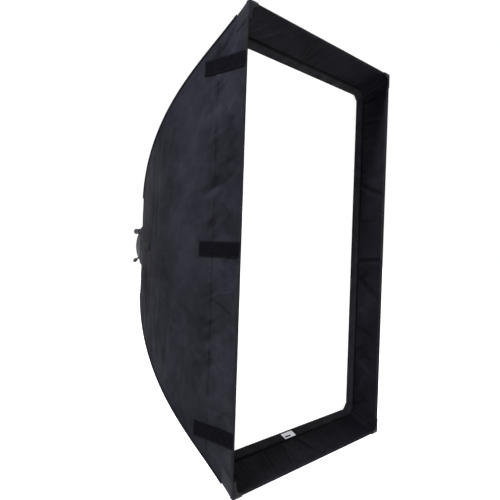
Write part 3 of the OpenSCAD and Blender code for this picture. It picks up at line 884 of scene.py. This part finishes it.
def diffuser_field(x, z):
    """Soft waves in the stretched front cloth, with short gathers along its border."""
    inside = np.minimum(half("right", CLOTH_D) - np.abs(x), half("top", CLOTH_D) - np.abs(z))
    wave = 1.6 * MM * layered(x / 0.22, z / 0.3, 91)
    gathers = 0.5 * MM * np.exp(-inside / 0.03) * noise(x / 0.016, z / 0.016, 92)
    return np.clip(inside / 0.04, 0, 1) * (wave + gathers)


cloth_w = float(half("right", CLOTH_D)) - 3.9 * MM
cloth_h = float(reach("right", CLOTH_D)) - 4.2 * MM
front_cloth = face_sheet("front_diffuser_cloth", cloth_w, cloth_h, CLOTH_CUT, RIM_Y + CLOTH_D,
                         diffuser_field, WHITE_CLOTH, M["white"])
made(front_cloth, "front_diffuser", "diffuser_cloth", slot="white_cloth")

# ---- Inner baffle and its cords ----

baffle_w = 0.72 * float(half("right", BAFFLE_D))
baffle_h = 0.76 * float(reach("right", BAFFLE_D))


def baffle_field(x, z):
    """Soft waves in the hanging inner cloth."""
    hold = np.clip(np.minimum(baffle_w - np.abs(x), baffle_h - np.abs(z)) / 0.05, 0.2, 1)
    return hold * 2.5 * MM * layered(x / 0.16, z / 0.2, 131)


inner = face_sheet("inner_baffle_cloth", baffle_w, baffle_h, 0.006, RIM_Y + BAFFLE_D, baffle_field,
                   WHITE_CLOTH, M["baffle"], 0.012)
made(inner, "softbox", "inner_baffle", slot="white_cloth")
baffle_t = float(np.interp(BAFFLE_D, LINE_D, LINE_T))
eye = np.array([baffle_w - 9 * MM, RIM_Y + BAFFLE_D + 2.2 * MM, baffle_h - 9 * MM])
rod_at = rod_line(np.array([baffle_t]))[0] + np.array([0, RIM_Y, 0])
cord_way = unit(rod_at - eye)
cord_run = float(np.linalg.norm(rod_at - eye)) - 7.2 * MM
cords = []
for corner in CORNERS:
    steps = np.linspace(0, cord_run, 30)
    path = mirrored(eye + steps[:, None] * cord_way, corner)
    grow = 1 + 0.10 * np.sin(steps / 0.0016)
    cords.append(sweep("cord", path, circle(1.4 * MM, 12), (0, 1, 0), M["elastic"], grow=grow))
made(join("baffle_elastic_cords", cords), "softbox", "baffle_cords", slot="elastic_black")

# ---- Rear flaps, which run from the box's rear edge to the ring's rim ----

FLAP_ROOM = 0.030  # left open beside each rod
TAIL_AWAY, TAIL_Y, TAIL_HALF = 0.0938, -0.034, 0.056  # where the tail ends, on the ring's rim


def flap_points(side, ds, share, lift):
    """A flap's rows over the cloth, then its tail, which lies on the ring's rim."""
    d = ds[:, None]
    s = share * (half(other(side), d) - FLAP_ROOM)
    under = 1.2 * MM * np.clip((FLAP_D + 0.003 - d) / 0.004, 0, 1)
    soft = np.clip((d - FLAP_D) / 0.02, 0, 1) * 1.1 * MM * layered(d / 0.03, s / 0.045, SEED[side] + 400)
    body = skin(side, d, s, lift - under + soft)
    far, y = TAIL_AWAY + lift + 0 * share, TAIL_Y + 0 * share
    across = share * TAIL_HALF
    out = SIGN[side] * far
    tail = np.stack([out, y, across] if side in ("left", "right") else [across, y, out], -1)
    steps = np.linspace(0, 1, 9)[1:, None, None]
    return np.concatenate([body, body[-1:] + (tail - body[-1:]) * steps])


for side in SIDES:
    ds = np.concatenate([[FLAP_D - 0.005, FLAP_D - 0.0025], np.linspace(FLAP_D, DEPTH, 22)])
    share = np.linspace(-1, 1, 72)[None, :]
    flap = slab("rear_flap_cloth_" + side, flap_points(side, ds, share, 0.0),
                flap_points(side, ds, share, -CLOTH), M["flap"])
    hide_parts("flap_" + side)
    runs = []
    for edge in (-0.94, 0.94):
        low, high = (flap_points(side, ds, np.array([[edge]]), lift)[3:, 0] for lift in (0.1 * MM, 1.1 * MM))
        runs.append((low, high - low))
    hem = stitches("rear_flap_stitches_" + side, runs, M["thread"])
    w = half(other(side), ds) - FLAP_ROOM
    run = np.hypot(np.diff(half(side, ds)), np.diff(ds))
    tail_run = math.hypot(float(half(side, DEPTH)) - TAIL_AWAY, ROOT_Y - TAIL_Y)
    area = float((run * (w[1:] + w[:-1])).sum()) + tail_run * (float(w[-1]) + TAIL_HALF)
    for piece in (flap, hem):
        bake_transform(piece)

# ---- Tabs, straps, piping and edge tape ----


def strip(name, side, start, end, centre, width, thick, material, seed, fray=0.3 * MM):
    """Tape laid on the outside, with raised and slightly uneven edges."""
    ds = np.arange(start, end + 1e-6, 0.0025)
    low = lambda d: centre - width / 2 + fray * noise(d / 0.006, 0.5, seed)
    high = lambda d: centre + width / 2 + fray * noise(d / 0.006, 0.5, seed + 1)
    top = lambda d, share: (thick * (1 + 0.22 * np.exp(-np.minimum(share, 1 - share) / 0.06))
                            + 0.25 * MM * noise(d / 0.016, share * 2.5, seed + 2))
    return patch(name, side, ds, low, high, 17, top, 0.15 * MM, material)


def box_runs(side, start, end, centre, width, lift, inset=3 * MM, cross=False):
    """Stitch runs round the edge of a tape, with a cross through it if asked."""
    low, high = centre - width / 2 + inset, centre + width / 2 - inset
    corners = [(start + inset, low), (end - inset, low), (end - inset, high), (start + inset, high)]
    pairs = [(corners[k], corners[(k + 1) % 4]) for k in range(4)]
    if cross:
        pairs += [(corners[0], corners[2]), (corners[1], corners[3])]
    runs = []
    for a, b in pairs:
        t = np.linspace(0, 1, 30)
        runs.append(on_skin(side, a[0] + (b[0] - a[0]) * t, a[1] + (b[1] - a[1]) * t, lift))
    return runs


TABS = {"left": (-0.462, 0.0, 0.462), "top": (-0.270, 0.270)}
TABS["right"], TABS["bottom"] = TABS["left"], TABS["top"]
TAB_START, STRAP_START = 0.0012, 0.436
for side in SIDES:
    pieces, runs = [], []
    for k, centre in enumerate(TABS[side]):
        pieces.append(strip("tab", side, TAB_START, TAB_L, centre, TAB_W, 1.7 * MM, M["hook"],
                            SEED[side] + 500 + 10 * k))
        runs += box_runs(side, TAB_START, TAB_L, centre, TAB_W, 1.95 * MM)
    made(join("loop_tabs_" + side, pieces), "softbox", "grid_tabs_" + side, slot="hook_tape")
    made(stitches("tab_stitches_" + side, runs, M["thread"]), "softbox", slot="hook_tape")
for side in ("left", "right"):
    strap = strip("rear_webbing_" + side, side, STRAP_START, FLAP_D - 0.001, 0.0, STRAP_W, 1.6 * MM,
                  M["webbing"], SEED[side] + 600, fray=0.12 * MM)
    made(strap, "softbox", "rear_strap_" + side, slot="webbing_black")
    runs = []
    for start in (STRAP_START + 0.002, FLAP_D - 0.028):
        runs += box_runs(side, start, start + STRAP_W, 0.0, STRAP_W, 1.8 * MM, cross=True)
    made(stitches("strap_stitches_" + side, runs, M["thread"]), "softbox", slot="webbing_black")

PIPING_START, PIPING_R, PIPING_OUT = 0.044, 1.9 * MM, 1.2 * MM
pipe_d = np.linspace(PIPING_START, FLAP_D - 0.002, 150)
path = np.stack([half("right", pipe_d) + PIPING_OUT, RIM_Y + pipe_d, half("top", pipe_d) + PIPING_OUT],
                -1)
grow = 1 + 0.05 * noise(pipe_d / 0.007, 0.5, 77)
for corner in CORNERS:
    cord = sweep("corner_piping_" + corner, mirrored(path, corner), circle(PIPING_R, 12),
                 mirrored(np.array([1.0, 0, -1.0]), corner), M["binding"], grow=grow)
    made(cord, "softbox", "piping_" + corner, slot="edge_tape")


def profile_strip(name, side, section, ss, material, seed):
    """Closed strip of one section, given as (depth, lift) points, that runs across a side."""
    section = np.asarray(section, float)
    jog = 0.18 * MM * noise(ss / 0.02, 0.5, seed)
    points = skin(side, section[:, :1], ss[None, :], section[:, 1:] + jog[None, :])
    k, n = len(section), len(ss)
    faces = grid_faces(k, n, round_rows=True).tolist()
    faces += [list(range(0, k * n, n)), list(range(n - 1, k * n, n))]
    uvs = np.stack(np.broadcast_arrays(run_of(section)[:, None], ss[None, :]), -1).reshape(-1, 2)
    return solid(name, points.reshape(-1, 3), faces, uvs, material, 60)


# in mm, as (depth, lift)
EDGE_TAPE = [(6.0, 0.9), (4.0, 1.0), (1.0, 0.95), (-1.2, 0.75), (-2.2, 0.15), (-2.45, -0.4), (-2.2, -0.95),
             (-1.2, -1.5), (1.0, -1.75), (4.0, -1.85), (6.0, -1.75)]
tapes, runs = [], []
for side in SIDES:
    far = float(reach(side, 0.0)) - 2 * MM
    ss = np.linspace(-far, far, int(2 * far / 0.006))
    section = np.array(EDGE_TAPE) * MM
    tapes.append(profile_strip("edge_tape", side, section, ss, M["binding"], SEED[side] + 700))
    runs.append(on_skin(side, 3.6 * MM, ss, 1.05 * MM))
made(join("rim_edge_tape", tapes), "softbox", "rim_binding", slot="edge_tape")
made(stitches("rim_stitches", runs, M["thread"]), "softbox", slot="edge_tape")

runs = []
for side in SIDES:
    for d, lift in ((LIP_D + 0.0045, 0.05 * MM), (LIP_D - 0.0040, 0.05 * MM)):
        far = float(reach(side, d)) - 3 * MM
        ss = np.linspace(-far, far, 400)
        runs.append(on_skin(side, d, ss, lift))
made(stitches("seam_stitches", runs, M["thread"]), "softbox", slot="outer_cloth")
runs = []
for side in SIDES:
    for d in (BAND_D + 0.003, CLOTH_D - 0.003):
        far = float(reach(side, d)) - 30 * MM
        ss = np.linspace(-far, far, 300)
        points, normals = on_skin(side, d, ss, BORDER_IN - 0.1 * MM, flat=True)
        runs.append((points, -normals))
made(stitches("border_stitches", runs, M["thread"]), "front_diffuser", slot="hook_tape")

# ---- Rod sleeves in the lip's corners ----

# in mm in from the side cloth and the top cloth, up to the middle of the sleeve; the rest is its mirror image
HALF_SLEEVE = [(0.9, 36.0), (1.0, 29.0), (2.6, 26.0), (1.9, 23.0), (3.6, 20.0), (7.0, 16.2), (10.2, 14.0)]
SLEEVE = HALF_SLEEVE + [(12.9, 12.9)] + [(b, a) for a, b in reversed(HALF_SLEEVE)]


def smooth_line(points, n):
    """Points along a soft curve through the given ones."""
    points = np.asarray(points, float)
    p = np.vstack([2 * points[0] - points[1], points, 2 * points[-1] - points[-2]])
    out = []
    for k in range(1, len(p) - 2):
        t = np.linspace(0, 1, n, endpoint=False)[:, None]
        a, b, c, e = p[k - 1], p[k], p[k + 1], p[k + 2]
        out.append(0.5 * (2 * b + (c - a) * t + (2 * a - 5 * b + 4 * c - e) * t ** 2
                          + (3 * b - a - 3 * c + e) * t ** 3))
    return np.vstack(out + [p[-2:-1]])


def in_corner(d, a, b):
    """A point at a depth, a in from the side cloth and b in from the top cloth."""
    kw, kh = np.sqrt(1 + slope("right", d) ** 2), np.sqrt(1 + slope("top", d) ** 2)
    d, a, b = np.broadcast_arrays(d, a, b)
    return np.stack([half("right", d) - a * kw, RIM_Y + d, half("top", d) - b * kh], -1)


sleeve_line = smooth_line(SLEEVE, 4) * MM
sleeve_d = np.linspace(-0.0042, CLOTH_D - 0.0025, 54)[:, None]
pieces, runs = [], []
for k, corner in enumerate(CORNERS):
    a, b = sleeve_line[None, :, 0], sleeve_line[None, :, 1]
    soft = 0.5 * MM * layered(sleeve_d / 0.02, a * 60 + k, 811) * np.clip(np.minimum(a, b) / 0.003, 0, 1)
    inside = mirrored(in_corner(sleeve_d, a + soft, b + soft), corner)
    outside = mirrored(in_corner(sleeve_d, a + soft - 0.6 * MM, b + soft - 0.6 * MM), corner)
    # the sleeves take the darker lip nylon, painted shade for the lip's corners
    pieces.append(slab("sleeve", inside, outside, M["lip"]))
    for first, second in ((1.6, 24.6), (24.6, 1.6), (1.5, 31.0), (31.0, 1.5)):
        d = sleeve_d[4:-12, 0]
        here = mirrored(in_corner(d, first * MM, second * MM), corner)
        off = mirrored(in_corner(d, (first + (first < second)) * MM, (second + (second < first)) * MM),
                       corner)
        runs.append((here, off - here))
    for d0 in (0.010, 0.0125, 0.015, 0.0175, 0.020):
        line = sleeve_line[8:-8]
        here, off = (mirrored(in_corner(np.full(len(line), d0), *(line + lift * MM).T), corner)
                     for lift in (0.1, 1.1))
        runs.append((here, off - here))
made(join("corner_rod_sleeves", pieces), "softbox", "rod_sleeves", slot="lip_cloth")
made(stitches("sleeve_stitches", runs, M["thread"], r=0.32 * MM), "softbox", slot="lip_cloth")

# ---- Corner pockets over the rod tips ----

POCKET_W, POCKET_H = 0.038, 0.044
# its inner edge, as the share of its width and mm in from the side and from the top
POCKET_IN = ((-1, 7, 44), (-0.5, 11, 26), (-0.25, 13, 21), (0, 15.5, 15.5), (0.25, 20, 13), (0.5, 24, 11),
             (1, 38, 7))


def pocket_points(lift, back):
    """A layer of the upper right pocket: it wraps the corner and folds in over the rim."""
    u = np.linspace(-1, 1, 49)[None, :]
    soft = lambda v: (v + np.sqrt(v * v + 0.004 ** 2)) / 2
    x_in, z_in = soft(u * POCKET_W), soft(-u * POCKET_H)
    d = np.concatenate([np.linspace(0.042, 0.0, 14), [-0.002, -0.0035]])[:, None]
    wave = 0.4 * MM * layered(d / 0.012, u * 3, 900)
    x = half("right", d) + lift + wave - x_in
    z = half("top", d) + lift + wave - z_in
    wrap = np.stack(np.broadcast_arrays(x, RIM_Y + d, z), -1)
    table = np.array(POCKET_IN, float)
    inner = np.stack([FACE_W / 2 - np.interp(u[0], table[:, 0], table[:, 1]) * MM,
                      np.full(u.shape[1], RIM_Y - 0.0050 + back),
                      FACE_H / 2 - np.interp(u[0], table[:, 0], table[:, 2]) * MM], -1)
    f = np.linspace(0, 1, 8)[1:, None, None]
    fold = wrap[-1:] + (inner[None] - wrap[-1:]) * f
    fold[..., 1] = RIM_Y - 0.0035 - (0.0021 - back) * np.sin(np.pi * np.clip(f[..., 0] * 0.62, 0, 1))
    return np.concatenate([wrap, fold])


for corner in CORNERS:
    outside = mirrored(pocket_points(1.9 * MM, 0.0), corner)
    inside = mirrored(pocket_points(0.9 * MM, 0.9 * MM), corner)
    pocket = slab("pocket_cloth_" + corner, outside, inside, M["pocket"])
    made(pocket, "softbox", "corner_pocket_" + corner, slot="outer_cloth")
    rows = mirrored(pocket_points(2.0 * MM, 0.0), corner)
    off = mirrored(pocket_points(3.0 * MM, 0.0), corner) - rows
    runs = [(rows[1, :], off[1, :]), (rows[:14, 2], off[:14, 2]), (rows[:14, -3], off[:14, -3])]
    made(stitches("pocket_stitches_" + corner, runs, M["thread"]), "softbox", slot="outer_cloth")

# ---- Care label, with one plain printed block ----

LABEL_X, LABEL_W, LABEL_L = -0.0445, 0.0570, 0.0175
BLOCK_X, BLOCK_W = -0.0385, 0.0295


def label_layer(lift, start=0.0, width=LABEL_W):
    """Depth of a layer of the label, which ripples a little."""
    return lambda d, share: lift * MM - 0.3 * MM * noise(d / 0.006, (start + share * width) / LABEL_W * 4, 41)


label = patch("woven_label", "bottom", np.linspace(0.081, 0.098, 9), LABEL_X, LABEL_X + LABEL_W, 25,
              label_layer(-4.40), label_layer(-4.90), M["label"], flat=True)
made(label, "front_diffuser", "care_label", slot="label_white")
block = patch("label_block", "bottom", np.linspace(0.0845, 0.0885, 5), BLOCK_X, BLOCK_X + BLOCK_W, 13,
              label_layer(-4.85, BLOCK_X - LABEL_X, BLOCK_W), label_layer(-5.00, BLOCK_X - LABEL_X, BLOCK_W),
              M["print"], flat=True)
made(block, "front_diffuser", slot="label_white")

# ---- Camera, as the photograph's ----

camera_data = bpy.data.cameras.new("camera")
camera_data.sensor_width = 36.0
camera_data.lens = 47.88
camera_data.clip_end = 100
camera = bpy.data.objects.new("camera", camera_data)
bpy.context.scene.collection.objects.link(camera)
CAMERA_AT = Vector((-1.6756, RIM_Y - 0.9549, 0.0124))
RIGHT = Vector((0.58715, -0.80878, 0.03356))
UP = Vector((-0.01426, 0.03112, 0.99941))
BACK = Vector((-0.80935, -0.58728, 0.00674))
camera.matrix_world = Matrix.Translation(CAMERA_AT) @ Matrix((RIGHT, UP, BACK)).transposed().to_4x4()
bpy.context.scene.camera = camera

# ---- Stage and light: floor and world brighten along LOOK, so that the back of the picture is white ----

FLOOR_Z, FLOOR_R, FLOOR_SIDES = -1.05, 40.0, 96
LOOK = (0.80, 0.60, 0.0)


def brighter(tree, where, strength, start, end, dim, bright):
    """Wires a strength that rises smoothly from dim to bright along LOOK."""
    along = tree.nodes.new("ShaderNodeVectorMath")
    along.operation = "DOT_PRODUCT"
    along.inputs[1].default_value = LOOK
    tree.links.new(where, along.inputs[0])
    fade = tree.nodes.new("ShaderNodeMapRange")
    fade.interpolation_type = "SMOOTHSTEP"
    for key, value in (("From Min", start), ("From Max", end), ("To Min", dim), ("To Max", bright)):
        fade.inputs[key].default_value = value
    tree.links.new(along.outputs["Value"], fade.inputs["Value"])
    tree.links.new(fade.outputs["Result"], strength)


def floor():
    s = Shader("pale_floor", roughness=0.9, specular=0.1)
    base = s.ramp(s.noise(1.2, 3.0, 0.5), [(0.3, (0.97, 0.97, 0.97)), (0.7, (0.99, 0.99, 0.99))])
    s.set("Emission Color", colour(1, 1, 1))
    brighter(s.tree, s.coords("Object"), s.shader.inputs["Emission Strength"], -0.4, 0.5, 0.05, 0.85)
    s.finish(base, s.bump(s.noise(400.0, 2.0, 0.5), 0.1, 0.0003))
    rim = np.column_stack([circle(FLOOR_R, FLOOR_SIDES), np.full(FLOOR_SIDES, FLOOR_Z)])
    return link("floor", mesh_of("floor", rim, [range(FLOOR_SIDES)]), s.material)


floor()
LAMPS = (  # name, place, aimed at, side, watts, tint
    ("key", (-2.3, -0.9, 2.7), (-0.35, -0.4, 0.1), 0.35, 295, (0.93, 0.96, 1.0)),
    ("fill", (-2.8, -1.8, -0.2), (-0.3, -0.4, -0.1), 1.2, 14, (0.93, 0.96, 1.0)),
    ("back", (2.8, 2.2, 2.4), (0, -0.3, 0), 2.0, 30, (1, 1, 1)),
)
for name, at, target, size, power, tint in LAMPS:
    data = bpy.data.lights.new(name, "AREA")
    data.shape = "RECTANGLE"
    data.size, data.size_y = size, size
    data.energy = power
    data.color = tint
    lamp = bpy.data.objects.new(name, data)
    lamp.location = at
    lamp.rotation_euler = (Vector(target) - Vector(at)).to_track_quat("-Z", "Y").to_euler()
    bpy.context.scene.collection.objects.link(lamp)
world = bpy.data.worlds.new("world")
bpy.context.scene.world = world
world.use_nodes = True
backdrop = world.node_tree.nodes["Background"]
backdrop.inputs["Color"].default_value = colour(1, 1, 1)
where = world.node_tree.nodes.new("ShaderNodeTexCoord").outputs["Generated"]
brighter(world.node_tree, where, backdrop.inputs["Strength"], -0.2, 0.80, 0.34, 1.02)
bpy.context.scene.view_settings.view_transform = "Standard"
